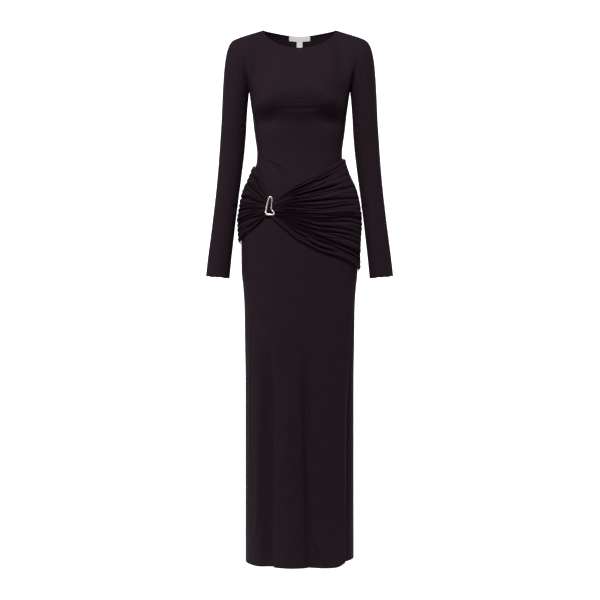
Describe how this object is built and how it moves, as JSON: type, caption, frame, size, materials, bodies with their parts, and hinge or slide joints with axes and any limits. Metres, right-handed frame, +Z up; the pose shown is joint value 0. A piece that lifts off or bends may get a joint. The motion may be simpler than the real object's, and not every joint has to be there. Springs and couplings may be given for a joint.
{
  "type": "long-sleeved maxi dress",
  "caption": "Fitted long-sleeved jersey maxi dress, filled out as worn, with a pleated hip overlay drawn through a metal ring and a side slit.",
  "frame": {"origin": "midway between the two points where the shoulder seams meet the neckline, where the wearer's shoulders hold the dress up", "axes": "+Z up along the body, front of the dress faces -Y, +X towards the wearer's left side, which has the slit"},
  "size_m": [0.504, 0.2379, 1.43],
  "materials": {
    "jersey": "matt knitted jersey, near black with an aubergine cast",
    "ring_metal": "polished pale metal",
    "label_cloth": "white woven tape, left bare"
  },
  "bodies": {
    "root": {"front_bodice": "jersey", "front_skirt": "jersey", "back_bodice": "jersey", "back_skirt": "jersey", "sleeve_left": "jersey", "sleeve_right": "jersey", "overlay": "jersey", "ring": "ring_metal", "label": "label_cloth", "size_tab": "label_cloth"}
  },
  "joints": []
}
